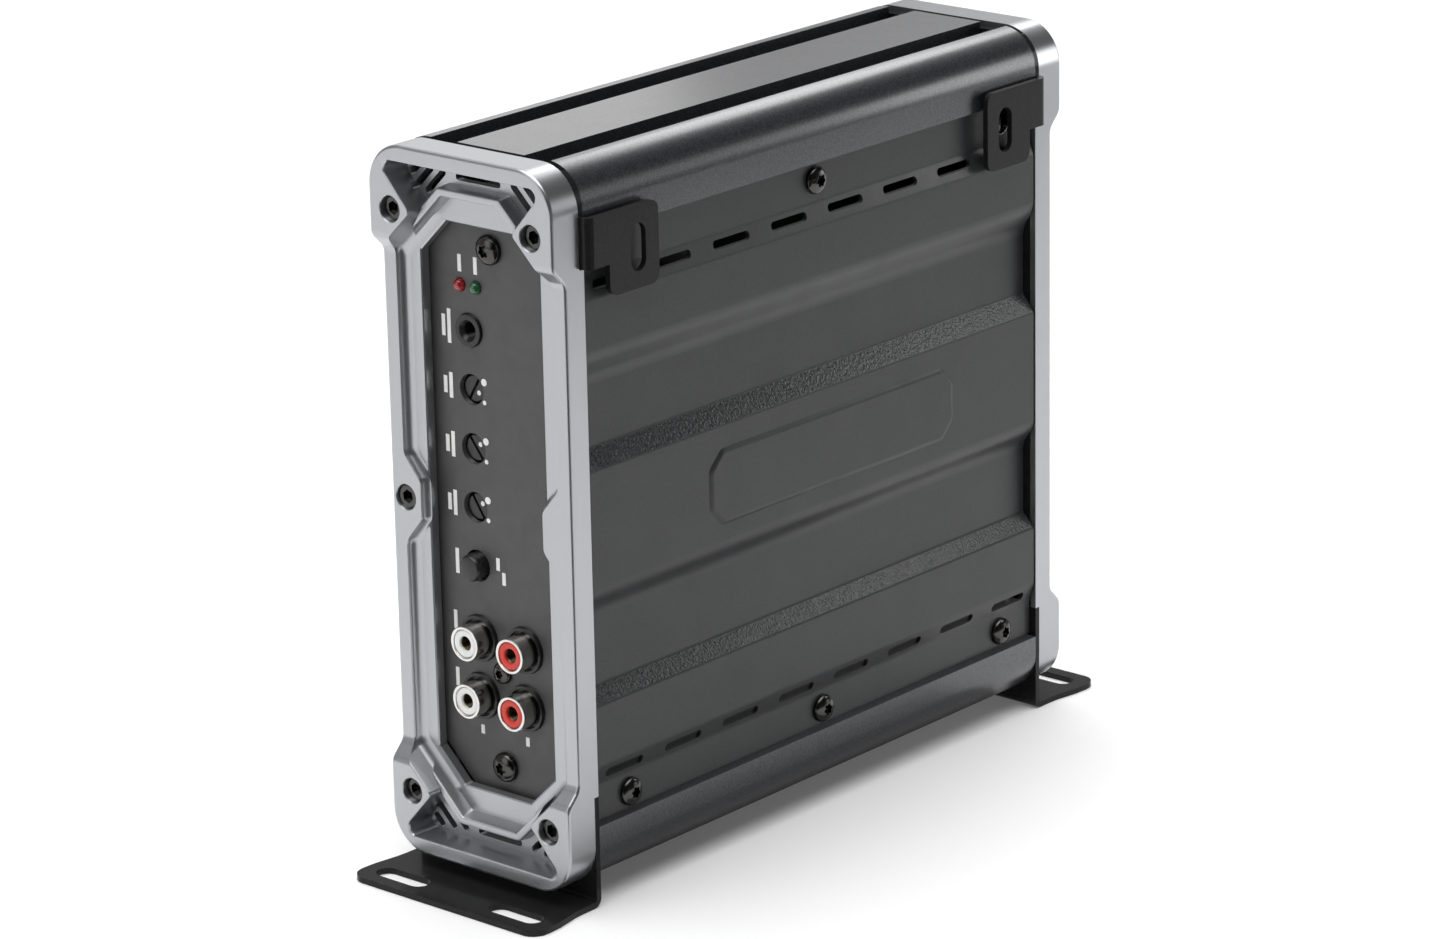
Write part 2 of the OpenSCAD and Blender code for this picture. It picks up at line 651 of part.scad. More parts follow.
module control_chips() {
  color([0.06, 0.06, 0.06]) at() union() {
    for (z = [-10, 6, 22, 38]) box(pcb_x + 0.05, pcb_x + 2.4, -58, -48, z - 3, z + 3);
    box(pcb_x + 0.05, pcb_x + 3, -44, -30, -8, 6);
    for (z = [14, 22]) box(pcb_x + 0.05, pcb_x + 3.6, -40, -33, z - 1.7, z + 1.7);
  }
}

heatsink_extrusion();
bottom_cover();
cover_screws();
front_bezel();
rear_bezel();
front_bezel_screws();
rear_bezel_screws();
mount_bracket_front();
mount_bracket_rear();
front_panel();
rear_panel();
front_panel_screws();
rear_panel_screws();
panel_marks();
protect_led();
power_led();
remote_jack();
trimmer_bodies();
bass_boost_rotor();
crossover_rotor();
gain_rotor();
level_switch_body();
level_button();
rca_housing();
rca_shells();
rca_inserts_white();
rca_inserts_red();
rca_contacts();
rca_screw();
power_terminal_block();
power_terminal_clamps();
power_terminal_screws();
speaker_terminal_block();
speaker_terminal_clamps();
speaker_terminal_screws();
fuse_holder();
fuse_upper();
fuse_lower();
circuit_board();
board_standoffs();
board_screws();
panel_mount_blocks();
power_transistors();
clamp_bars();
clamp_screws();
transformer_core();
transformer_winding();
output_choke();
filter_capacitors();
control_chips();
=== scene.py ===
"""Looks of the car amplifier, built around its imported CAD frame.

The CAD frame gives the places: every piece is drawn in millimetres from the middle of the
heatsink extrusion (x across, y along, z up) and then put into the row frame, in metres.
"""

import json
import math
import bmesh
import bpy
from mathutils import Matrix, Vector


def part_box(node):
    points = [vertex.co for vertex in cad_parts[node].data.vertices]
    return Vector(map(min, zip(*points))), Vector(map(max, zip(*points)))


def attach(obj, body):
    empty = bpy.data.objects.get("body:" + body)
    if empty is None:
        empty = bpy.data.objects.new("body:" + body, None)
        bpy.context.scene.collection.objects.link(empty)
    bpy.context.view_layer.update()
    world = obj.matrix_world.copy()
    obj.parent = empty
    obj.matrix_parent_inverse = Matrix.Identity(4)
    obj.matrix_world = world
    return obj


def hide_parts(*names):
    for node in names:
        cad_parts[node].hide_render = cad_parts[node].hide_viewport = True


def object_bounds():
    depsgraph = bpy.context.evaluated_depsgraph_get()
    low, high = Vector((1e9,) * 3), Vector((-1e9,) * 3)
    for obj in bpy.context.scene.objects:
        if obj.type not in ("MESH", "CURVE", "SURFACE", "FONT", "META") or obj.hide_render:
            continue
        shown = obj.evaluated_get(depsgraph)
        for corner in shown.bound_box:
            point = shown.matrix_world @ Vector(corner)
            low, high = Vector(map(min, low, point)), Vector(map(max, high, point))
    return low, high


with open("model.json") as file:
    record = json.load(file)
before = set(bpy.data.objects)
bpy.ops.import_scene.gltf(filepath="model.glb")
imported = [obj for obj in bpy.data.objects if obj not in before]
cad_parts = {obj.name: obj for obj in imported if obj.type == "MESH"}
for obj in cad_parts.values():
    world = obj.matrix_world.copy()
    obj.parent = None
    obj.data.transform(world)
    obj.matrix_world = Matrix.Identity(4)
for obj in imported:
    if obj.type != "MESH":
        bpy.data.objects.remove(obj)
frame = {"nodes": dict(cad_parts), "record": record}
cad_low, cad_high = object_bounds()

MM = 0.001
FLAT = math.radians(0.5)                           # faces that turn less than this are one face
body_low, body_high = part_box("heatsink_extrusion")
CENTRE = (body_low + body_high) / 2
HALF_X, HALF_LEN, HALF_Z = (body_high - body_low) / 2 / MM
TO_ROW = Matrix.Translation(CENTRE) @ Matrix.Scale(MM, 4)
TURN_TO_Y = Matrix.Rotation(math.pi / 2, 4, "X")   # a piece drawn along +Z then points along -Y
TURN_TO_X = Matrix.Rotation(math.pi / 2, 4, "Y")   # a piece drawn along +Z then points along +X


def box_mm(node):
    """Corners of a CAD node, in millimetres from the middle of the body."""
    low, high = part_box(node)
    return (low - CENTRE) / MM, (high - CENTRE) / MM


FRONT = -box_mm("front_bezel")[0].y        # distance of the bezel's front plane, 91
BODY_OF = {n: b for b, nodes in frame["record"]["behaviour"]["bodies"].items() for n in nodes}


# ---------------------------------------------------------------- outlines

def rounded(corners, steps=6):
    """Outline through (u, v, radius) corners, each rounded by an arc of that radius."""
    outline = []
    count = len(corners)
    for i, (u, v, radius) in enumerate(corners):
        here = Vector((u, v))
        before = Vector(corners[i - 1][:2]) - here
        after = Vector(corners[(i + 1) % count][:2]) - here
        if radius <= 0:
            outline.append(here)
            continue
        before.normalize()
        after.normalize()
        half = before.angle(after) / 2
        reach = radius / math.tan(half)
        middle = here + (before + after).normalized() * (radius / math.sin(half))
        start = here + before * reach - middle
        turn = start.angle_signed(here + after * reach - middle)
        pieces = max(2, round(abs(turn) / (math.pi / 2) * steps))
        for k in range(pieces + 1):
            outline.append(middle + Matrix.Rotation(-turn * k / pieces, 2) @ start)
    return outline


def corners_at(*points):
    """Outline through sharp corners."""
    return [Vector(p) for p in points]


def mirrored(corners):
    """A right-hand run of (u, v, radius) corners from top to bottom, closed by its mirror image."""
    return corners + [(-u, v, r) for u, v, r in reversed(corners)]


def rectangle(half_u, half_v, radius, steps=6):
    return rounded([(half_u, half_v, radius), (half_u, -half_v, radius),
                    (-half_u, -half_v, radius), (-half_u, half_v, radius)], steps)


def octagon(half_u, half_v, cut, radius=0.0, steps=4):
    right = [(half_u - cut, half_v, radius), (half_u, half_v - cut, radius),
             (half_u, cut - half_v, radius), (half_u - cut, -half_v, radius)]
    return rounded(mirrored(right), steps)


def circle(radius, sides=48, turn=0.0):
    return [Vector((radius * math.cos(turn + 2 * math.pi * k / sides),
                    radius * math.sin(turn + 2 * math.pi * k / sides))) for k in range(sides)]


def long_slot(length, width, steps=8):
    return rectangle(length / 2, width / 2, width / 2 - 0.001, steps)


def moved(outline, u, v):
    return [p + Vector((u, v)) for p in outline]


def meet(first, second):
    """Point where two lines cross; each is (normal u, normal v, offset)."""
    (a, b, c), (d, e, f) = first, second
    det = a * e - b * d
    return ((c * e - b * f) / det, (a * f - c * d) / det)


# ---------------------------------------------------------------- solids

def plane_xz(y):
    return lambda p: Vector((p[0], y, p[1]))


def plane_yz(x):
    return lambda p: Vector((x, p[0], p[1]))


def plane_xy(z):
    return lambda p: Vector((p[0], p[1], z))


def loft(*sections):
    """Closed solid through (outline, plane) sections with equally many points."""
    bm = bmesh.new()
    rings = [[bm.verts.new(plane(p)) for p in outline] for outline, plane in sections]
    count = len(rings[0])
    for lower, upper in zip(rings, rings[1:]):
        for k in range(count):
            bm.faces.new((lower[k], lower[(k + 1) % count], upper[(k + 1) % count], upper[k]))
    bm.faces.new(rings[0])
    bm.faces.new(rings[-1])
    bmesh.ops.recalc_face_normals(bm, faces=bm.faces)
    return bm


def prism(outline, plane, start, end):
    return loft((outline, plane(start)), (outline, plane(end)))


def lathe(profile, sides=64):
    """Solid turned about Z from (radius, height) points; a radius of 0 closes on the axis."""
    bm = bmesh.new()
    rings = []
    for radius, height in profile:
        if radius <= 1e-6:
            rings.append([bm.verts.new((0, 0, height))])
        else:
            rings.append([bm.verts.new((p.x, p.y, height)) for p in circle(radius, sides)])
    loops = list(zip(rings, rings[1:]))
    if len(rings[0]) > 1 and len(rings[-1]) > 1:
        loops.append((rings[-1], rings[0]))
    for lower, upper in loops:
        for k in range(sides):
            n = (k + 1) % sides
            corners = [lower[k % len(lower)], lower[n % len(lower)],
                       upper[n % len(upper)], upper[k % len(upper)]]
            unique = list(dict.fromkeys(corners))
            if len(unique) > 2:
                bm.faces.new(unique)
    bmesh.ops.recalc_face_normals(bm, faces=bm.faces)
    return bm


def placed(bm, x=0.0, y=0.0, z=0.0, turn=None):
    if turn is not None:
        bmesh.ops.transform(bm, matrix=turn, verts=bm.verts)
    bmesh.ops.translate(bm, vec=(x, y, z), verts=bm.verts)
    return bm


def joined(*parts):
    """One bmesh holding several separate solids."""
    whole = bmesh.new()
    for part in parts:
        mesh = bpy.data.meshes.new("part")
        part.to_mesh(mesh)
        part.free()
        whole.from_mesh(mesh)
        bpy.data.meshes.remove(mesh)
    return whole


def temporary(bm):
    mesh = bpy.data.meshes.new("temporary")
    bm.to_mesh(mesh)
    bm.free()
    made = bpy.data.objects.new("temporary", mesh)
    bpy.context.scene.collection.objects.link(made)
    return made


def discard(*objects):
    for o in objects:
        mesh = o.data
        bpy.data.objects.remove(o)
        bpy.data.meshes.remove(mesh)


def evaluated(o):
    """The object's mesh with its modifiers applied, as a new bmesh."""
    bpy.context.view_layer.update()
    graph = bpy.context.evaluated_depsgraph_get()
    bm = bmesh.new()
    bm.from_mesh(o.evaluated_get(graph).to_mesh())
    o.evaluated_get(graph).to_mesh_clear()
    return bm


def combine(bm, tools, operation="DIFFERENCE", merge_flat=True):
    """The solid after each tool in turn is cut from it, or joined to it, with flat faces merged."""
    base = temporary(bm)
    for tool in tools:
        other = temporary(tool)
        step = base.modifiers.new("step", "BOOLEAN")
        step.operation = operation
        step.solver = "EXACT"
        step.object = other
        made = evaluated(base)
        base.modifiers.clear()
        made.to_mesh(base.data)
        made.free()
        discard(other)
    result = bmesh.new()
    result.from_mesh(base.data)
    discard(base)
    bmesh.ops.remove_doubles(result, verts=result.verts, dist=0.004)
    if merge_flat:
        bmesh.ops.dissolve_limit(result, angle_limit=FLAT, verts=result.verts, edges=result.edges,
                                 delimit={"MATERIAL"})
    return result


def cut(bm, *tools):
    return combine(bm, tools)


def fuse(bm, *tools):
    return combine(bm, tools, "UNION")


# ---------------------------------------------------------------- pieces

SHARP = math.radians(28)       # an edge that turns more than this is bevelled
CREASE = math.radians(32)      # an edge that turns more than this is shaded sharp
SHADING_WEIGHT = 60            # how far the large faces lead the shading of small ones


def turns_by(edge, angle):
    """True where two faces meet at the edge and turn by more than the angle."""
    return len(edge.link_faces) == 2 and edge.calc_face_angle(0) > angle


def round_off(bm, radius, steps, wanted):
    """Rounds the sharp edges whose middle point is wanted."""
    edges = [e for e in bm.edges if turns_by(e, SHARP) and wanted((e.verts[0].co + e.verts[1].co) / 2)]
    bmesh.ops.bevel(bm, geom=edges, offset=radius, offset_type="OFFSET", segments=steps, profile=0.5,
                    affect="EDGES", clamp_overlap=True, miter_outer="ARC", loop_slide=True)
    return bm


def bevel_edges(o, width_mm, segments, limit):
    """Puts a bevel on the edges that turn more than the limit."""
    bm = bmesh.new()
    bm.from_mesh(o.data)
    layer = bm.edges.layers.float.new("bevel_weight_edge")
    for edge in bm.edges:
        if turns_by(edge, limit):
            edge[layer] = 1.0
    bm.to_mesh(o.data)
    bm.free()
    bevel = o.modifiers.new("round_edges", "BEVEL")
    bevel.limit_method = "WEIGHT"
    bevel.width = width_mm * MM
    bevel.segments = segments
    bevel.miter_outer = "MITER_ARC"
    bevel.use_clamp_overlap = True
    bevel.loop_slide = True


def settle(o):
    """Applies the modifiers, then shades smooth apart from the creases."""
    bm = evaluated(o)
    o.modifiers.clear()
    bmesh.ops.remove_doubles(bm, verts=bm.verts, dist=2e-6)
    bmesh.ops.dissolve_degenerate(bm, edges=bm.edges, dist=1e-6)
    for face in bm.faces:
        face.smooth = True
    for edge in bm.edges:
        edge.smooth = not turns_by(edge, CREASE)
    bm.to_mesh(o.data)
    bm.free()
    weighted = o.modifiers.new("even_shading", "WEIGHTED_NORMAL")
    weighted.keep_sharp = True
    weighted.weight = SHADING_WEIGHT


def piece(name, bm, looks, nodes, bevel=0.0, segments=2, limit=SHARP):
    """A visible piece made from a bmesh in millimetres; it stands for the CAD nodes given."""
    bmesh.ops.transform(bm, matrix=TO_ROW, verts=bm.verts)
    mesh = bpy.data.meshes.new(name)
    bm.to_mesh(mesh)
    bm.free()
    made = bpy.data.objects.new(name, mesh)
    bpy.context.scene.collection.objects.link(made)
    for look in looks if isinstance(looks, (list, tuple)) else [looks]:
        mesh.materials.append(look)
    if bevel > 0:
        bevel_edges(made, bevel, segments, limit)
    settle(made)
    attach(made, BODY_OF[nodes[0]])
    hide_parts(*nodes)
    return made


# nodes whose flat faces run round holes, and are split so that they stay flat when bevelled
WITH_HOLES = ("mount_bracket_front", "mount_bracket_rear", "rear_panel", "fuse_holder", "power_transistors",
              "transformer_winding", "power_terminal_clamps", "speaker_terminal_clamps")


def refined(node, look, bevel, segments, change=None):
    """The CAD node's own shape, cleaned to plain faces, with its edges rounded."""
    bm = bmesh.new()
    bm.from_mesh(frame["nodes"][node].data)
    bmesh.ops.transform(bm, matrix=TO_ROW.inverted(), verts=bm.verts)
    bmesh.ops.remove_doubles(bm, verts=bm.verts, dist=0.002)
    bmesh.ops.dissolve_limit(bm, angle_limit=FLAT, verts=bm.verts, edges=bm.edges)
    if change is not None:
        bm = change(bm)
    if node in WITH_HOLES:
        bmesh.ops.connect_verts_concave(bm, faces=bm.faces)
    return piece(node + "_shape", bm, look, [node], bevel, segments)


def other_end(bm):
    """The same solid mirrored to the power end."""
    copy = bm.copy()
    bmesh.ops.scale(copy, vec=(1, -1, 1), verts=copy.verts)
    bmesh.ops.reverse_faces(copy, faces=copy.faces)
    return copy


# ---------------------------------------------------------------- materials

def shader(name, colour, metallic=0.0, roughness=0.5, **sockets):
    look = bpy.data.materials.new(name)
    look.use_nodes = True
    tree = look.node_tree
    bsdf = tree.nodes["Principled BSDF"]
    bsdf.inputs["Base Color"].default_value = (*colour, 1)
    bsdf.inputs["Metallic"].default_value = metallic
    bsdf.inputs["Roughness"].default_value = roughness
    for socket, value in sockets.items():
        bsdf.inputs[socket.replace("_", " ")].default_value = value
    return look, tree, bsdf


def add(tree, kind, **inputs):
    node = tree.nodes.new(kind)
    for socket, value in inputs.items():
        node.inputs[socket.replace("_", " ")].default_value = value
    return node


def object_space(tree):
    """Metres in the object's own frame."""
    return tree.nodes.new("ShaderNodeTexCoord").outputs["Object"]


def noise(tree, space, size_mm, detail=2.0, rough=0.5):
    node = add(tree, "ShaderNodeTexNoise", Scale=1 / (size_mm * MM), Detail=detail, Roughness=rough)
    tree.links.new(space, node.inputs["Vector"])
    return node.outputs["Fac"]


def cells(tree, space, size_mm):
    """A random grey for each small cell, for metal flake and speckle."""
    node = add(tree, "ShaderNodeTexVoronoi", Scale=1 / (size_mm * MM))
    tree.links.new(space, node.inputs["Vector"])
    split = tree.nodes.new("ShaderNodeSeparateColor")
    tree.links.new(node.outputs["Color"], split.inputs["Color"])
    return split.outputs["Red"]


def tint(tree, bsdf, factor, dark, light):
    """Base colour between two colours by a factor."""
    mix = tree.nodes.new("ShaderNodeMix")
    mix.data_type = "RGBA"
    mix.inputs["A"].default_value = (*dark, 1)
    mix.inputs["B"].default_value = (*light, 1)
    tree.links.new(factor, mix.inputs["Factor"])
    tree.links.new(mix.outputs["Result"], bsdf.inputs["Base Color"])


def roughen(tree, bsdf, factor, low, high):
    """Roughness between two values, over the middle range of a noise."""
    node = add(tree, "ShaderNodeMapRange", From_Min=0.3, From_Max=0.7, To_Min=low, To_Max=high)
    tree.links.new(factor, node.inputs["Value"])
    tree.links.new(node.outputs["Result"], bsdf.inputs["Roughness"])


def bump(tree, bsdf, height, depth_mm):
    node = add(tree, "ShaderNodeBump", Distance=depth_mm * MM, Strength=1.0)
    tree.links.new(height, node.inputs["Height"])
    tree.links.new(node.outputs["Normal"], bsdf.inputs["Normal"])


def times(colour, k):
    return tuple(min(1.0, c * k) for c in colour)


def coated(name, colour, metallic, roughness, flake_mm=0.35, flake=0.3, grain_mm=0.5, grain_depth=0.01,
           patch=0.06, **sockets):
    """Paint or powder coat: flake in the colour, fine grain in the surface, soft patches of roughness."""
    look, tree, bsdf = shader(name, colour, metallic, roughness, **sockets)
    space = object_space(tree)
    tint(tree, bsdf, cells(tree, space, flake_mm), times(colour, 1 - flake), times(colour, 1 + flake))
    roughen(tree, bsdf, noise(tree, space, 9, 3), roughness - patch / 2, roughness + patch / 2)
    bump(tree, bsdf, noise(tree, space, grain_mm, 2), grain_depth)
    return look


def moulded(name, colour, roughness, grain_mm=0.35, grain_depth=0.006, **sockets):
    """Moulded plastic: faint colour drift and fine spark-eroded grain."""
    look, tree, bsdf = shader(name, colour, 0.0, roughness, **sockets)
    space = object_space(tree)
    tint(tree, bsdf, noise(tree, space, 4, 3), times(colour, 0.85), times(colour, 1.15))
    roughen(tree, bsdf, noise(tree, space, 2.5, 3), roughness * 0.85, roughness * 1.15)
    bump(tree, bsdf, noise(tree, space, grain_mm, 2), grain_depth)
    return look


PLATE_GRAIN, PLATE_DEPTH = 0.6, 0.0006      # size and depth of the grain of bare metal, in mm


def plated(name, colour, roughness):
    """Plated or bare metal: faint mottling of colour and polish."""
    look, tree, bsdf = shader(name, colour, 1.0, roughness)
    space = object_space(tree)
    tint(tree, bsdf, noise(tree, space, 1.5, 3), times(colour, 0.8), times(colour, 1.1))
    roughen(tree, bsdf, noise(tree, space, PLATE_GRAIN, 3), roughness * 0.7, roughness * 1.4)
    bump(tree, bsdf, noise(tree, space, PLATE_GRAIN, 2), PLATE_DEPTH)
    return look


SILVER = coated("silver_paint", (0.44, 0.45, 0.467), 0.92, 0.29, 0.5, 0.008, 3.0, 0.0006, 0.02)
CHARCOAL = coated("charcoal_powder", (0.034, 0.036, 0.042), 0.55, 0.36, 0.3, 0.55, 0.35, 0.008, 0.02,
                  Coat_Weight=1.0, Coat_Roughness=0.26, Coat_IOR=1.6)
DARK_COVER = coated("cover_powder", (0.025, 0.026, 0.028), 0.0, 0.38, 0.3, 0.2, 0.4, 0.004)
BLACK_STEEL = coated("black_steel", (0.012, 0.012, 0.0125), 0.0, 0.36, 0.5, 0.2, 0.8, 0.003, 0.04,
                     Specular_IOR_Level=0.05, Coat_Weight=0.3, Coat_Roughness=0.12)
BLACK_SCREW = plated("black_nickel", (0.085, 0.083, 0.08), 0.17)
PANEL_GREY = moulded("panel_grey", (0.066, 0.066, 0.066), 0.45, 0.5, 0.004)
PRINT_WHITE = moulded("print_white", (0.85, 0.85, 0.84), 0.5)
BLACK_PLASTIC = moulded("black_plastic", (0.012, 0.012, 0.012), 0.33)
ROTOR_PLASTIC = moulded("rotor_plastic", (0.014, 0.014, 0.014), 0.3, 0.8, 0.002)
NICKEL = plated("nickel", (0.78, 0.76, 0.73), 0.12)
WHITE_PLASTIC = moulded("white_plastic", (0.85, 0.85, 0.83), 0.3, Subsurface_Weight=0.1, Subsurface_Scale=MM)
RED_PLASTIC = moulded("red_plastic", (0.62, 0.035, 0.02), 0.3, Subsurface_Weight=0.08, Subsurface_Scale=MM)
GLOSS = dict(Coat_Weight=1.0, Coat_Roughness=0.05)
RED_LENS = moulded("red_lens", (0.3, 0.006, 0.006), 0.1, 1.0, 0.0002, **GLOSS)
GREEN_LENS = moulded("green_lens", (0.008, 0.09, 0.03), 0.1, 1.0, 0.0002, **GLOSS)
BRASS = plated("brass", (0.72, 0.52, 0.24), 0.26)
ZINC = plated("zinc", (0.62, 0.62, 0.61), 0.3)
AMBER = moulded("fuse_amber", (0.82, 0.33, 0.02), 0.18, 0.6, 0.003, Transmission_Weight=0.45)
BOARD = moulded("board_green", (0.012, 0.10, 0.045), 0.3)
ALUMINIUM = plated("aluminium", (0.66, 0.66, 0.67), 0.38)
FERRITE = moulded("ferrite", (0.04, 0.038, 0.036), 0.62, 0.5, 0.02)
COPPER = plated("copper", (0.62, 0.28, 0.12), 0.22)
SLEEVE = moulded("sleeve_black", (0.012, 0.013, 0.02), 0.25)
# painted shade: the contacts' brass is darkened to stand for the shade inside the socket holes
CONTACT_AND_HOLE_SHADE = plated("contact", (0.2, 0.16, 0.1), 0.35)


def coarse_powder():
    """The thick, bumpy coat on the ramps of the cover that face up."""
    look, tree, bsdf = shader("cover_coarse_powder", (0.035, 0.037, 0.038), 0.0, 0.22)
    space = object_space(tree)
    tint(tree, bsdf, cells(tree, space, 0.5), (0.025, 0.026, 0.027), (0.06, 0.062, 0.064))
    bump(tree, bsdf, noise(tree, space, 0.7, 2, 0.6), 0.14)
    return look


COARSE = coarse_powder()

# ---------------------------------------------------------------- bezels

BEZEL_CORNER = 10.0
BEZEL_BACK = FRONT - HALF_LEN          # depth of the bezel, 10.1
STEP = 3.8                             # the middle length lies this much deeper
RIDGE_DEPTH = 2.9
FLOOR_DEPTH = 6.6                      # vented floor
FACE_DEPTH = 6.2                       # face round the panel
BAR_X = 23.43                          # inner edge of the long bars
SCREW_X, SCREW_Z = 21.1, 69.0
MID_SCREW = (-23.2, 0.5)
COUNTERBORE = 2.98
HEAD_DEPTH = 4.2
MID_HEAD_DEPTH = 3.6
DIAGONAL = math.sqrt(0.5)
HOLLOW = 2.2                           # radius of the hollow between flanks and face
HOLLOW_STEPS = 5
OUTER_ROUND = 0.8                      # radius of the outer front edge
INNER_ROUND = 0.45                     # radius of the edges of the opening and the ribs

# sides of the opening: where they lie at the front plane, and how far they close in per mm of depth
WINDOW_TOP, TOP_DRAFT = 80.1, 0.08
WINDOW_SIDE, SIDE_DRAFT = (0.7516, -0.6598, -33.96), 0.1      # normal u, normal v, offset
FLANK_REACH, FLANK_DRAFT = 84.2, 0.31
BULGE_X, BAR_DRAFT = 19.0, 0.12
BULGE_FOOT, BULGE_TOP = 10.4, 4.6      # half lengths of a middle bulge

RIB_CUT, RIB_ROUND = 30.8, 1.2         # corners of the octagonal rib
RIB_X = 40                             # the rib's long sides lie beyond the bars
STEP_FROM, STEP_TO = 62.3, 58.5        # heights between which the front steps back
STEP_ROUND = 3.0
VENTS = ((72.9, 77.6), (73.7, 78.0), (76.6, 78.3))      # ends of the three slanted slots
VENT_FROM, VENT_PACE = 88.2, 4.1       # place of the first, and the way to the next
VENT_WIDE = 1.7
WEB_X, WEB_TOP, WEB_FOOT = 25.92, 60.9, -61.9           # sides of the pocket for a bracket's web

# tools reach past what they cut
WIDE = 60                              # half width of a tool that cuts right across
AHEAD, BEYOND = -FRONT - 5, -FRONT + 12                 # ends of a tool that cuts right through


def mouth(depth, inset=0.0):
    """Outline of the bezel's opening at a depth: windows, boss flanks, bars and middle bulges."""
    top = (0, 1, WINDOW_TOP - TOP_DRAFT * depth - inset)
    side = (*WINDOW_SIDE[:2], WINDOW_SIDE[2] - SIDE_DRAFT * depth - inset)
    flank = (DIAGONAL, DIAGONAL, FLANK_REACH * DIAGONAL - FLANK_DRAFT * depth - inset)
    bar = (1, 0, BAR_X - BAR_DRAFT * max(0.0, depth - STEP) - inset)
    bulge = BULGE_X - BAR_DRAFT * depth - inset
    middle = MID_SCREW[1]
    upper = [(*meet(top, side), 2.0), (*meet(side, flank), 1.1), (*meet(flank, bar), 3.0)]
    bumps = [(bar[2], middle + BULGE_FOOT, 3.0), (bulge, middle + BULGE_TOP, 2.2),
             (bulge, middle - BULGE_TOP, 2.2), (bar[2], middle - BULGE_FOOT, 3.0)]
    lower = [(u, -v, r) for u, v, r in reversed(upper)]
    return rounded(mirrored(upper + bumps + lower), 5)


def flared(outline, start):
    """Sections of a tool that rounds the edge it cuts in a surface at the depth start."""
    flare = [(INNER_ROUND + 0.25, start - 0.25), (INNER_ROUND, start),
             (INNER_ROUND * 0.3, start + INNER_ROUND * 0.3), (0, start + INNER_ROUND)]
    return [(outline(depth, -more), plane_xz(-FRONT + depth)) for more, depth in flare]


def rib(half_u, half_v):
    return octagon(half_u, half_v, RIB_CUT, RIB_ROUND)


def ridge():
    """Raised octagonal rib between the windows and the recess, top and bottom."""
    round_over = [(INNER_ROUND, 0), (INNER_ROUND * 0.3, INNER_ROUND * 0.3), (0, INNER_ROUND)]
    outer = [(rib(RIB_X - less, 75.1 - less), plane_xz(-FRONT + RIDGE_DEPTH + d))
             for less, d in round_over]
    outer.append((rib(RIB_X, 75.5), plane_xz(-FRONT + FLOOR_DEPTH + 0.5)))
    inner = [(rib(RIB_X - 1 + more, 73.3 + more), plane_xz(-FRONT + RIDGE_DEPTH + d))
             for more, d in [(INNER_ROUND + 0.3, -0.3)] + round_over[1:]]
    inner.append((rib(RIB_X - 1, 71.95), plane_xz(-FRONT + FLOOR_DEPTH + 1.0)))
    between_ends = corners_at((-WIDE, -60), (WIDE, -60), (WIDE, 60), (-WIDE, 60))
    trims = [prism(between_ends, plane_xz, AHEAD, BEYOND)]
    for side in (-1, 1):
        for end in (-1, 1):
            # the rib stops just short of each boss
            corner = corners_at((side * 14.0, end * 69.6), (side * 40, end * 99.2),
                                (side * WIDE, end * 60), (side * 20, end * 60))
            trims.append(prism(corner, plane_xz, AHEAD, BEYOND))
    return cut(loft(*outer), loft(*inner), *trims)


def vent_tools(end):
    """Slots in the vented floor: one along the top, three slanted on each side."""
    above_floor = -FRONT + 5
    tools = [prism(moved(long_slot(13.4, 1.6), 0, end * 77.3), plane_xz, above_floor, BEYOND)]
    slanted = Matrix.Rotation(-math.pi / 4, 2)
    for side in (-1, 1):
        for number, (near, far) in enumerate(VENTS):
            across = VENT_FROM + VENT_PACE * number
            low, high = Vector((across - near, near)), Vector((across - far, far))
            middle = (low + high) / 2
            slot = [slanted @ p for p in long_slot((high - low).length + VENT_WIDE, VENT_WIDE)]
            slot = [Vector((side * p.x, end * p.y)) for p in moved(slot, middle.x, middle.y)]
            tools.append(prism(slot, plane_xz, above_floor, BEYOND))
    return tools


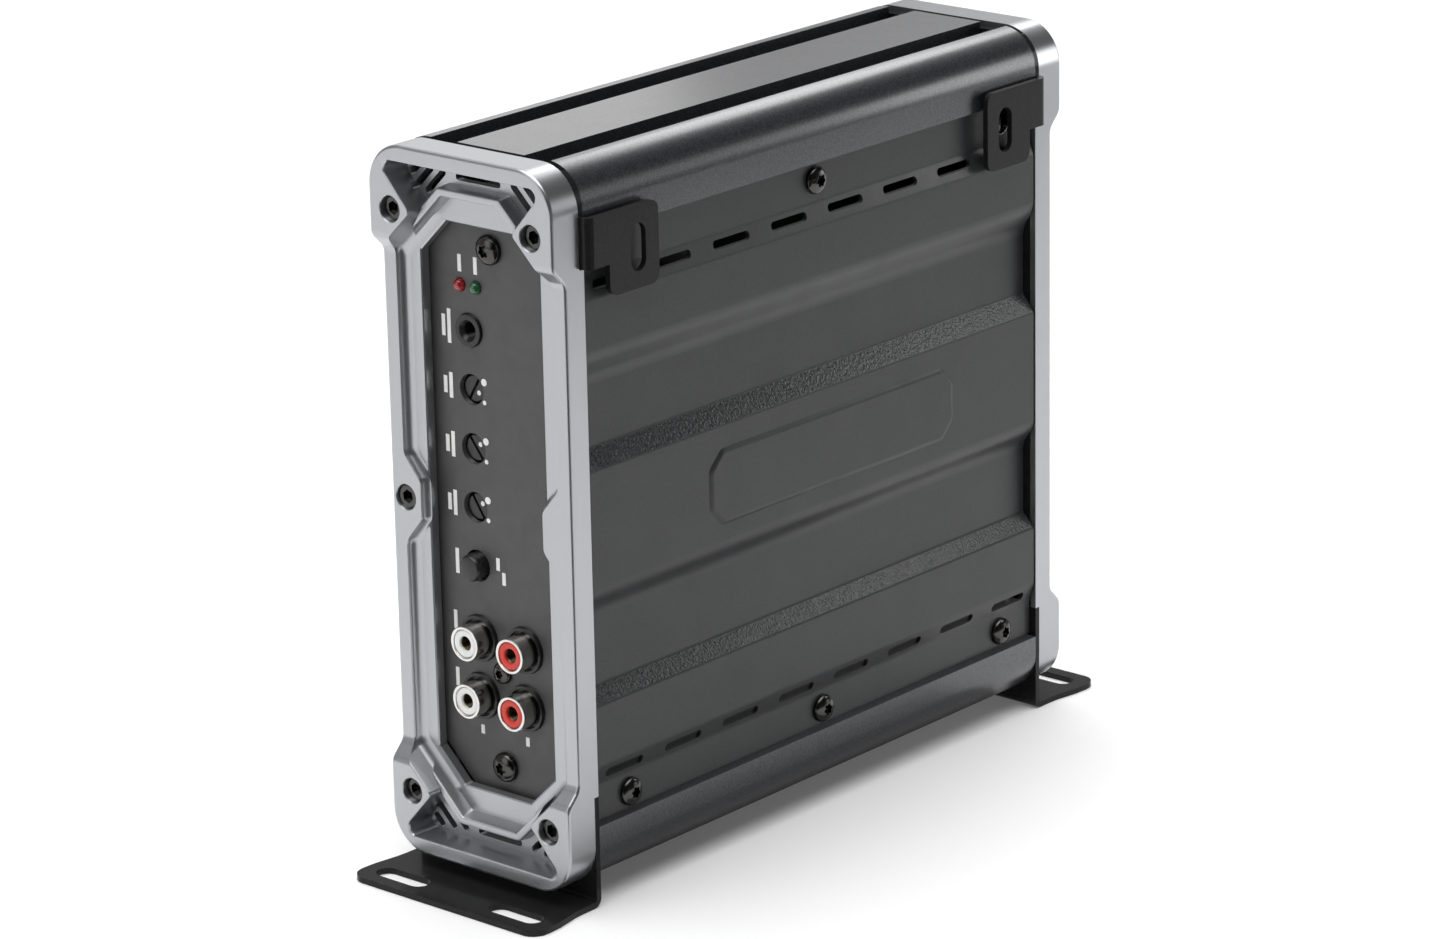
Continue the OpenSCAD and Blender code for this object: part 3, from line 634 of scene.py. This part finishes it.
def bezel():
    """The control end's bezel: a stepped block, hollowed, with its rib, vents, holes and panel window."""
    side_profile = rounded([(0, 88, 0), (0, STEP_FROM, STEP_ROUND), (STEP, STEP_TO, STEP_ROUND),
                            (STEP, -STEP_TO, STEP_ROUND), (0, -STEP_FROM, STEP_ROUND),
                            (0, -88, 0), (BEZEL_BACK, -88, 0), (BEZEL_BACK, 88, 0)], 8)
    profile = [Vector((p.x - FRONT, p.y)) for p in side_profile]
    blank = prism(rectangle(HALF_X, HALF_Z, BEZEL_CORNER, 14), plane_xz, -FRONT - 4, -FRONT + 14)
    blank = combine(blank, [prism(profile, plane_yz, -40, 40)], "INTERSECT")
    sections = flared(mouth, 0) + [(mouth(STEP), plane_xz(-FRONT + STEP))]
    for k in range(HOLLOW_STEPS + 1):
        turn = math.pi / 2 * k / HOLLOW_STEPS
        depth = FACE_DEPTH - HOLLOW * (1 - math.sin(turn))
        sections.append((mouth(depth, HOLLOW * (1 - math.cos(turn))), plane_xz(-FRONT + depth)))
    shell = round_off(blank, OUTER_ROUND, 5, lambda m: m.y < -FRONT + STEP + 0.5)
    tall = rectangle(WIDE, 57.6, 0)
    middle = combine(loft(*flared(mouth, STEP)), [prism(tall, plane_xz, -FRONT, BEYOND)], "INTERSECT")
    shell = cut(shell, cut(loft(*sections), ridge()), middle)
    tools = []
    for end in (-1, 1):
        start = FACE_DEPTH - HOLLOW - 0.1
        deeper = loft((mouth(start), plane_xz(-FRONT + start)),
                      (mouth(FLOOR_DEPTH), plane_xz(-FRONT + FLOOR_DEPTH)))
        keep = prism(rib(RIB_X, 75.46), plane_xz, -FRONT, BEYOND)
        other_half = corners_at((-WIDE, -end * 90), (WIDE, -end * 90), (WIDE, end * 66), (-WIDE, end * 66))
        half = prism(other_half, plane_xz, -FRONT, BEYOND)
        tools.append(cut(deeper, keep, half))
        tools += vent_tools(end)
        tools += [counterbore(side * SCREW_X, end * SCREW_Z, 0, HEAD_DEPTH) for side in (-1, 1)]
    tools.append(counterbore(*MID_SCREW, STEP, MID_HEAD_DEPTH))
    window = [(0.6, FACE_DEPTH - 0.3), (0, FACE_DEPTH + 0.3), (0, 14)]
    tools.append(loft(*[(octagon(17.9 + more, 66.7 + more, 7.7, 0.6), plane_xz(-FRONT + d))
                        for more, d in window]))
    tools.append(web_pocket())
    return cut(shell, *tools)


def counterbore(x, z, start, depth):
    """Hole for a cap screw with a chamfered mouth, from the depth of the surface it starts in."""
    profile = [(0, start - 0.3), (COUNTERBORE + 0.5, start - 0.3), (COUNTERBORE, start + 0.2),
               (COUNTERBORE, start + depth), (1.8, start + depth), (1.8, 14), (0, 14)]
    return placed(lathe(profile, 48), x, -FRONT, z, TURN_TO_Y.inverted())


def web_pocket():
    """Pocket at the back of a bezel that takes the bracket's web."""
    low = -HALF_LEN - 1.45
    outline = [(HALF_X + 1, 90, 0), (HALF_X + 1, WEB_TOP, 0), (WEB_X, WEB_TOP, 0), (WEB_X, WEB_FOOT, 0),
               (HALF_X + 1, WEB_FOOT, 0), (HALF_X + 1, -90, 0)]
    return prism(rounded(mirrored(outline)), plane_xz, low, -HALF_LEN + 2)


def make_bezels():
    shape = bezel()
    piece("rear_bezel_shape", other_end(shape), SILVER, ["rear_bezel"])
    piece("front_bezel_shape", shape, SILVER, ["front_bezel"])


make_bezels()

# ---------------------------------------------------------------- cover

COVER_HALF = 80.5
SHEET = 1.1
FLANGE_X, ZONE_X, VALLEY_X = 25.8, 27.25, 24            # outer faces: edges, raised zones, valleys
COVER_BENDS = [(FLANGE_X, 68.1, 0), (FLANGE_X, 58.6, 3), (ZONE_X, 53.4, 3), (ZONE_X, 40.2, 7),
               (VALLEY_X, 34.5, 7), (VALLEY_X, 18.6, 1.2), (ZONE_X, 14.2, 1.2), (ZONE_X, -14.9, 6),
               (VALLEY_X, -19.4, 6), (VALLEY_X, -37.2, 1.2), (ZONE_X, -40.9, 1.2), (ZONE_X, -55.2, 5),
               (FLANGE_X, -59.9, 5), (FLANGE_X, -68.6, 0)]
RAMPS = ((14.4, 18.4), (-40.7, -37.4))                  # heights of the ramps with the coarse coat
VENT_COUNT = 8
VENT_PITCH = 20.23
VENT_LENGTH, VENT_WIDTH = 12.6, 2.1
VENT_ROWS = (56.3, -57.7)
COVER_SCREW_Y = (-68.5, 0, 68.5)
COVER_SCREW_Z = (63.9, -64.7)
SCREW_HOLE = 1.9
BADGE_Y, BADGE_Z = 4, -0.3
THROUGH_COVER = (20, 32)                                # ends of a tool that cuts through the cover


def offset_line(points, distance):
    """An open line moved sideways by a distance, square to each stretch."""
    out = []
    for i, p in enumerate(points):
        before = (p - points[i - 1]).normalized() if i else None
        after = (points[i + 1] - p).normalized() if i + 1 < len(points) else None
        along = (before or after) + (after or before)
        along.normalize()
        out.append(p + Vector((along.y, -along.x)) * distance / along.dot(after or before))
    return out


def sheet_section(bends, steps):
    """Closed section of a bent sheet from the (x, z, radius) bends of its outer face."""
    line = []
    for i, (x, z, radius) in enumerate(bends):
        if radius == 0:
            line.append(Vector((x, z)))
            continue
        arc = rounded([bends[i - 1][:2] + (0,), bends[i], bends[i + 1][:2] + (0,)], steps)
        line += arc[1:-1]
    inner = offset_line(line, SHEET)
    if inner[0].x > line[0].x:
        inner = offset_line(line, -SHEET)
    return line + inner[::-1]


def make_cover():
    """Bent sheet with its vents, screw holes and raised pad; the ramps that face up are coarse."""
    section = sheet_section(COVER_BENDS, 16)
    half = VENT_COUNT // 2
    between = [k * VENT_PITCH for k in range(1 - half, half)]
    stations = [-COVER_HALF] + between + [COVER_HALF]
    sheet = loft(*[(section, plane_xz(y)) for y in stations])
    tools = []
    for k in range(VENT_COUNT):
        for z in VENT_ROWS:
            slot = moved(long_slot(VENT_LENGTH, VENT_WIDTH), (k - (VENT_COUNT - 1) / 2) * VENT_PITCH, z)
            tools.append(prism(slot, plane_yz, *THROUGH_COVER))
    for y in COVER_SCREW_Y:
        for z in COVER_SCREW_Z:
            # the small turn keeps the hole's corners off the sheet's line at y = 0
            hole = circle(SCREW_HOLE, 32, 0.05)
            tools.append(prism(moved(hole, y, z), plane_yz, *THROUGH_COVER))
    sheet = combine(sheet, tools, merge_flat=False)
    top = box_mm("bottom_cover")[1].x
    layers = ((26.8, 44.6, 9.1, 4.3, 2.0), (27.26, 44.6, 9.1, 4.3, 2.0), (27.5, 44.2, 8.7, 4.1, 1.8),
              (top - 0.08, 43.8, 8.3, 3.9, 1.6), (top, 43.3, 7.8, 3.7, 1.4))
    pad = loft(*[(moved(octagon(*shape), BADGE_Y, BADGE_Z), plane_yz(x)) for x, *shape in layers])
    sheet = combine(sheet, [pad], "UNION", merge_flat=False)
    cover = piece("cover_shape", sheet, [DARK_COVER, COARSE], ["bottom_cover"], 0.26, 3,
                  limit=math.radians(50))
    to_mm = TO_ROW.inverted()
    for face in cover.data.polygons:
        height = (to_mm @ face.center).z
        slopes_up = face.normal.x > 0.2 and face.normal.z > 0.3
        if slopes_up and any(low < height < high for low, high in RAMPS):
            face.material_index = 1


make_cover()

# ---------------------------------------------------------------- screws

HEX_SOCKET = 1.62              # radius through the corners


def six_lobe(radius, points=48):
    """Six-lobed driver outline."""
    outline = []
    for k in range(points):
        angle = 2 * math.pi * k / points
        share = 1 - 0.13 * (1 - math.cos(6 * angle))
        outline.append(Vector((math.cos(angle), math.sin(angle))) * radius * share)
    return outline


def button_screw(head, height, socket, shank, length, turn):
    """Round-headed screw with a six-lobed socket; the head's seat is at z = 0.

    head, socket and shank are radii; length is that of the shank.
    """
    edge = 0.22 * height
    profile = [(0, -length), (shank * 0.7, -length), (shank, -length + 0.6), (shank, 0),
               (head - 0.1, 0), (head, 0.1), (head, edge)]
    bend = [math.pi / 2 * k / 12 for k in range(1, 12)]
    crown = [(head * math.cos(a), edge + (height - edge) * math.sin(a)) for a in bend]
    bm = lathe(profile + crown + [(0, height)], 48)
    rim = [Matrix.Rotation(turn, 2) @ p for p in six_lobe(socket)]
    tool = loft((rim, plane_xy(height - 1.15)), (rim, plane_xy(height + 1)))
    return cut(bm, tool)


def cap_screw(turn):
    """Socket-head screw; the head's seat is at z = 0."""
    bm = lathe([(0, -17.9), (1.2, -17.9), (1.55, -17.4), (1.55, 0), (2.75, 0), (2.88, 0.15), (2.88, 2.5),
                (2.75, 2.8), (2.45, 2.95), (0, 2.95)], 48)
    return cut(bm, prism(circle(HEX_SOCKET, 6, turn), plane_xy, 1.2, 3.6))


def small_edges(width):
    return dict(bevel=width, segments=2, limit=math.radians(35))


def screws(node, bm, width=0.09):
    piece(node + "_shape", bm, BLACK_SCREW, [node], **small_edges(width))


def make_screws():
    """Every screw is turned its own way, as a driver leaves it."""
    covers = [placed(button_screw(3.35, 2.1, 1.5, 1.55, 8.9, 0.5 + y + z), FLANGE_X, y, z, TURN_TO_X)
              for y in COVER_SCREW_Y for z in COVER_SCREW_Z]
    screws("cover_screws", joined(*covers))
    seat, mid_seat = -FRONT + HEAD_DEPTH, -FRONT + STEP + MID_HEAD_DEPTH
    bezels = [placed(cap_screw(0.4 * side + end), side * SCREW_X, seat, end * SCREW_Z, TURN_TO_Y)
              for side in (-1, 1) for end in (-1, 1)]
    bezels.append(placed(cap_screw(0.7), MID_SCREW[0], mid_seat, MID_SCREW[1], TURN_TO_Y))
    bezels = joined(*bezels)
    screws("rear_bezel_screws", other_end(bezels))
    screws("front_bezel_screws", bezels)
    panel_y = box_mm("front_panel")[0].y
    panels = joined(*[placed(button_screw(3.5, 2.4, 1.55, 1.55, 7.9, z), 0, panel_y, z, TURN_TO_Y)
                      for z in (-61, 61)])
    screws("rear_panel_screws", other_end(panels))
    screws("front_panel_screws", panels)
    low, high = box_mm("rca_screw")
    middle = (low + high) / 2
    rca = placed(button_screw(2.6, 1.7, 1.15, 1.2, 7.9, 0.0), middle.x, panel_y, middle.z, TURN_TO_Y)
    screws("rca_screw", rca, 0.08)


make_screws()

# ---------------------------------------------------------------- controls

def along_axis(node):
    """Middle x and z, and the front y, of a CAD node whose axis runs along Y."""
    low, high = box_mm(node)
    return (low.x + high.x) / 2, (low.z + high.z) / 2, low.y


ROTOR = 3.1              # radius of a trimmer's rotor
LED = 1.5                # radius of a dome
LED_COLLAR = 1.9
LIFT = 0.55              # how far the domes stand past their CAD solids


def make_rotor(node, pointer):
    """Slotted trimmer rotor with a printed dot in the direction of its pointer."""
    x, z, front = along_axis(node)
    disc = lathe([(0, -6.4), (1.85, -6.4), (2.0, -6.2), (2.0, -1.6), (ROTOR, -1.6), (ROTOR, -0.28),
                  (ROTOR - 0.08, -0.1), (ROTOR - 0.28, 0), (0, 0)], 56)
    disc = cut(disc, prism(rectangle(0.36, 4, 0.0), plane_xy, -0.85, 1))
    dot = placed(lathe([(0, -0.3), (0.62, -0.3), (0.62, 0.0), (0.55, 0.04), (0, 0.05)], 24), 1.55)
    for part, name, look in ((disc, node + "_shape", ROTOR_PLASTIC), (dot, node + "_pointer", PRINT_WHITE)):
        bmesh.ops.rotate(part, cent=(0, 0, 0), matrix=Matrix.Rotation(pointer, 3, "Z"), verts=part.verts)
        placed(part, x, front, z, TURN_TO_Y)
        made = piece(name, part, look, [node], **small_edges(0.07))


def jack_body(node, nose, x, front, z):
    """A turned nose joined to the square housing behind the panel."""
    low, high = box_mm(node)
    half = (high.x - low.x) / 2
    housing = prism(moved(rectangle(half, half, 0.6), x, z), plane_xz, front + 2.6, high.y)
    bore = placed(lathe([(0, 1), (1.8, 1), (1.8, -13.7), (0, -13.7)], 48), x, front, z, TURN_TO_Y)
    return fuse(cut(housing, bore), placed(nose, x, front, z, TURN_TO_Y))


def make_controls():
    """Rotors, button, indicator lights and remote jack of the control panel."""
    for node, pointer in (("bass_boost_rotor", -31), ("crossover_rotor", 38), ("gain_rotor", 34)):
        make_rotor(node, math.radians(pointer))
    x, z, front = along_axis("level_button")
    button = lathe([(0, -14.6), (1.9, -14.6), (2, -14.4), (2, -7.6), (3.15, -7.6), (3.15, -0.85),
                    (3.08, -0.6), (2.75, -0.12), (2.45, 0), (0, 0.06)], 56)
    piece("level_button_shape", placed(button, x, front, z, TURN_TO_Y), ROTOR_PLASTIC, ["level_button"])
    bend = [math.pi / 2 * k / 10 for k in range(1, 11)]
    dome = [(LED * math.sin(a), LIFT - LED + LED * math.cos(a)) for a in bend]
    stem = [(LED, -3.1), (LED_COLLAR, -3.1), (LED_COLLAR, -4.3), (LED, -4.3), (LED, -5.1), (0, -5.1)]
    for node, look in (("protect_led", RED_LENS), ("power_led", GREEN_LENS)):
        x, z, front = along_axis(node)
        lens = lathe([(0, LIFT)] + dome + stem, 40)
        piece(node + "_shape", placed(lens, x, front, z, TURN_TO_Y), look, [node])
    x, z, front = along_axis("remote_jack")
    nose = lathe([(1.8, -13.6), (1.8, -1.1), (2.2, -0.55), (2.5, -0.1), (2.7, 0), (3.45, 0), (3.72, -0.1),
                  (3.8, -0.35), (3.8, -1.9), (3.8, -3.0), (5.0, -3.0), (5.0, -13.6)], 64)
    body = jack_body("remote_jack", nose, x, front, z)
    piece("remote_jack_shape", body, BLACK_PLASTIC, ["remote_jack"], **small_edges(0.1))


make_controls()


def make_sockets():
    """Phono sockets: plated shell, coloured insert and a brass centre contact in each; the contact's colour
    is darkened to paint the shade deep in each socket's hole.
    """
    low, high = box_mm("rca_shells")
    radius = 4.15
    xs = (low.x + radius, high.x - radius)
    zs = (low.z + radius, high.z - radius)
    front = low.y
    shell = [(3.3, -11.5), (3.3, -0.35), (3.42, -0.1), (3.6, 0), (3.88, 0), (4.05, -0.07),
             (radius, -0.3), (radius, -4.4), (4.05, -4.5), (4.05, -11.5)]
    insert = [(1.72, -0.95), (1.72, -0.6), (1.82, -0.38), (2.05, -0.28), (3.0, -0.22), (3.2, -0.3),
              (3.25, -0.5), (3.25, -11.4), (2.25, -11.4), (2.25, -0.95)]
    contact = [(1.66, -9.7), (1.66, -1.2), (1.76, -1.05), (2.1, -1.05), (2.2, -1.2), (2.2, -9.7)]
    for node, profile, sides, columns, look in (("rca_shells", shell, 64, xs, NICKEL),
                                                ("rca_inserts_white", insert, 56, xs[:1], WHITE_PLASTIC),
                                                ("rca_inserts_red", insert, 56, xs[1:], RED_PLASTIC),
                                                ("rca_contacts", contact, 40, xs, CONTACT_AND_HOLE_SHADE)):
        parts = [placed(lathe(profile, sides), x, front, z, TURN_TO_Y) for x in columns for z in zs]
        piece(node + "_shape", joined(*parts), look, [node])


make_sockets()

# ---------------------------------------------------------------- carried-over shapes with rounded edges

def tab_corners(bm):
    """Rounds the corners of the flat tab that hooks over the cover."""
    corners = []
    for edge in bm.edges:
        a, b = edge.verts[0].co, edge.verts[1].co
        along_x = abs(a.x - b.x) > 0.6 and abs(a.y - b.y) + abs(a.z - b.z) < 0.01
        if along_x and min(a.x, b.x) > 20 and edge.calc_face_angle(0) > SHARP:
            corners.append(edge)
    bmesh.ops.bevel(bm, geom=corners, offset=1.6, segments=6, profile=0.5, affect="EDGES",
                    clamp_overlap=True)
    return bm


for bracket in ("mount_bracket_front", "mount_bracket_rear"):
    refined(bracket, BLACK_STEEL, 0.32, 3, change=tab_corners)

# node, look, width of the rounded edges in mm and their steps
REFINED = (
    ("heatsink_extrusion", CHARCOAL, 0.3, 2),
    ("front_panel", PANEL_GREY, 0.12, 2),
    ("rear_panel", PANEL_GREY, 0.12, 2),
    ("rca_housing", BLACK_PLASTIC, 0.12, 2),
    ("level_switch_body", BLACK_PLASTIC, 0.2, 2),
    ("trimmer_bodies", BLACK_PLASTIC, 0.2, 2),
    ("power_terminal_block", BLACK_PLASTIC, 0.3, 2),
    ("speaker_terminal_block", BLACK_PLASTIC, 0.3, 2),
    ("power_terminal_clamps", BRASS, 0.12, 2),
    ("speaker_terminal_clamps", BRASS, 0.12, 2),
    ("power_terminal_screws", ZINC, 0.18, 2),
    ("speaker_terminal_screws", ZINC, 0.18, 2),
    ("fuse_holder", BLACK_PLASTIC, 0.25, 2),
    ("circuit_board", BOARD, 0.1, 1),
    ("fuse_upper", AMBER, 0.2, 2),
    ("fuse_lower", AMBER, 0.2, 2),
    ("board_standoffs", BRASS, 0.12, 1),
    ("board_screws", ZINC, 0.08, 1),
    ("panel_mount_blocks", ALUMINIUM, 0.2, 2),
    ("power_transistors", BLACK_PLASTIC, 0.15, 1),
    ("clamp_bars", ALUMINIUM, 0.2, 1),
    ("clamp_screws", ZINC, 0.08, 1),
    ("transformer_core", FERRITE, 0.3, 2),
    ("transformer_winding", COPPER, 0.3, 2),
    ("output_choke", COPPER, 0.3, 2),
    ("filter_capacitors", SLEEVE, 0.3, 2),
    ("control_chips", BLACK_PLASTIC, 0.15, 1),
    ("panel_marks", PRINT_WHITE, 0.03, 1))
for node_name, look, width, segments in REFINED:
    refined(node_name, look, width, segments)

# ---------------------------------------------------------------- camera

AZIMUTH, ELEVATION, ROLL = math.radians(40.909), math.radians(17.67), math.radians(-1.135)
CAMERA_PLACE = Vector((0.7670, -0.8896, 0.3636))       # from the middle of the body, in metres
LENS, SENSOR = 130.05, 36
camera_data = bpy.data.cameras.new("camera")
camera_data.sensor_width = SENSOR
camera_data.lens = LENS
camera = bpy.data.objects.new("camera", camera_data)
bpy.context.scene.collection.objects.link(camera)
right = Vector((math.cos(AZIMUTH), math.sin(AZIMUTH), 0))
back = Vector((math.sin(AZIMUTH) * math.cos(ELEVATION), -math.cos(AZIMUTH) * math.cos(ELEVATION),
               math.sin(ELEVATION)))
up = back.cross(right)
rolled_right = right * math.cos(ROLL) + up * math.sin(ROLL)
rolled_up = up * math.cos(ROLL) - right * math.sin(ROLL)
camera_turn = Matrix((rolled_right, rolled_up, back)).transposed().to_4x4()
camera.matrix_world = Matrix.Translation(CENTRE + CAMERA_PLACE) @ camera_turn
bpy.context.scene.camera = camera

# ---------------------------------------------------------------- floor, lights and world

def make_floor():
    bm = bmesh.new()
    bmesh.ops.create_grid(bm, x_segments=8, y_segments=8, size=6)
    mesh = bpy.data.meshes.new("floor")
    bm.to_mesh(mesh)
    bm.free()
    floor = bpy.data.objects.new("floor", mesh)
    bpy.context.scene.collection.objects.link(floor)
    look, tree, bsdf = shader("floor_paper", (0.9, 0.9, 0.9), 0.0, 0.8)
    space = object_space(tree)
    tint(tree, bsdf, noise(tree, space, 400, 2), (0.88, 0.88, 0.88), (0.92, 0.92, 0.92))
    mesh.materials.append(look)
    floor.location.z = cad_low.z - 0.0001


def direction(azimuth, elevation):
    """Unit vector from the body; azimuth 0 is out of the control end and 90 out of the cover."""
    a, e = math.radians(azimuth), math.radians(elevation)
    return Vector((math.sin(a) * math.cos(e), -math.cos(a) * math.cos(e), math.sin(e)))


# distant light of the studio: azimuth, elevation, full within, gone beyond (degrees), radiance
STUDIO_BASE = 0.30
STUDIO = ((0, 90, 26, 44, 3.4), (225, 22, 16, 36, 0.45), (-15, 24, 12, 26, 1.3), (41, 15, 22, 50, 0.03),
          (110, 10, 30, 60, 0.06), (150, 36, 14, 30, 0.05), (138, 5, 6, 16, 1.0))
# near soft boxes: place from the body, size (m), radiance and whether it casts a shadow
BOXES = (((0.13, 0.20, 0.09), 0.075, 2.6, True), ((-0.22, 0.11, 0.19), 0.2, 0.66, False),
         ((-0.18, 0.42, 0.42), 0.22, 3.4, False))
# painted shade: cards lying on the floor, not seen by the camera and seen only in reflections; the dark ones
# paint shaded floor into what the body reflects, and the grey one at the base paints a contact shadow: grey,
# then corners in metres
SHADE_CARDS = ((0.02, (0.46, -0.11), (3.0, -0.11), (3.0, 3.0), (0.46, 3.0)),
         (0.02, (0.045, -0.125), (3.0, -0.125), (3.0, -3.0), (0.9, -3.0)),
         (0.25, (-0.03, -0.075), (0.055, -0.075), (0.055, 0.075), (-0.03, 0.075)))


def make_world():
    world = bpy.data.worlds.new("studio")
    bpy.context.scene.world = world
    world.use_nodes = True
    tree = world.node_tree
    place = tree.nodes.new("ShaderNodeTexCoord")
    value = None
    for azimuth, elevation, inner, outer, radiance in STUDIO:
        facing = tree.nodes.new("ShaderNodeVectorMath")
        facing.operation = "DOT_PRODUCT"
        tree.links.new(place.outputs["Generated"], facing.inputs[0])
        facing.inputs[1].default_value = direction(azimuth, elevation)
        share = add(tree, "ShaderNodeMapRange", From_Min=math.cos(math.radians(outer)),
                    From_Max=math.cos(math.radians(inner)))
        share.interpolation_type = "SMOOTHSTEP"
        tree.links.new(facing.outputs["Value"], share.inputs["Value"])
        mix = tree.nodes.new("ShaderNodeMix")
        mix.inputs["A"].default_value = STUDIO_BASE
        mix.inputs["B"].default_value = radiance
        tree.links.new(share.outputs["Result"], mix.inputs["Factor"])
        if value is not None:
            tree.links.new(value, mix.inputs["A"])
        value = mix.outputs["Result"]
    tree.links.new(value, tree.nodes["Background"].inputs["Strength"])
    tree.nodes["Background"].inputs["Color"].default_value = (1, 1, 1, 1)


def make_boxes():
    for number, (place, size, radiance, casts) in enumerate(BOXES):
        lamp = bpy.data.lights.new("soft_box_%d" % number, "AREA")
        lamp.size = size
        lamp.energy = radiance * math.pi * size ** 2
        lamp.use_shadow = casts
        box = bpy.data.objects.new(lamp.name, lamp)
        bpy.context.scene.collection.objects.link(box)
        box.location = CENTRE + Vector(place)
        box.rotation_euler = Vector(place).to_track_quat("Z", "Y").to_euler()
        box.visible_camera = False


# painted shade: each card darkens only what reflections see of the floor, as shade and a contact shadow
def make_shade_cards():
    for number, (grey, *corners) in enumerate(SHADE_CARDS):
        look, tree, bsdf = shader("card_%d" % number, (grey, grey, grey), 0.0, 0.9)
        tint(tree, bsdf, noise(tree, object_space(tree), 60, 2), (grey * 0.9,) * 3, (grey * 1.1,) * 3)
        bm = bmesh.new()
        bm.faces.new([bm.verts.new((x, y, 0)) for x, y in corners])
        mesh = bpy.data.meshes.new(look.name)
        bm.to_mesh(mesh)
        bm.free()
        mesh.materials.append(look)
        shade_card = bpy.data.objects.new(mesh.name, mesh)
        bpy.context.scene.collection.objects.link(shade_card)
        shade_card.location.z = cad_low.z + 0.001
        shade_card.visible_camera = False
        shade_card.visible_diffuse = False
        shade_card.visible_shadow = False


make_boxes()
make_shade_cards()
make_floor()
make_world()
bpy.context.scene.view_settings.view_transform = "Standard"
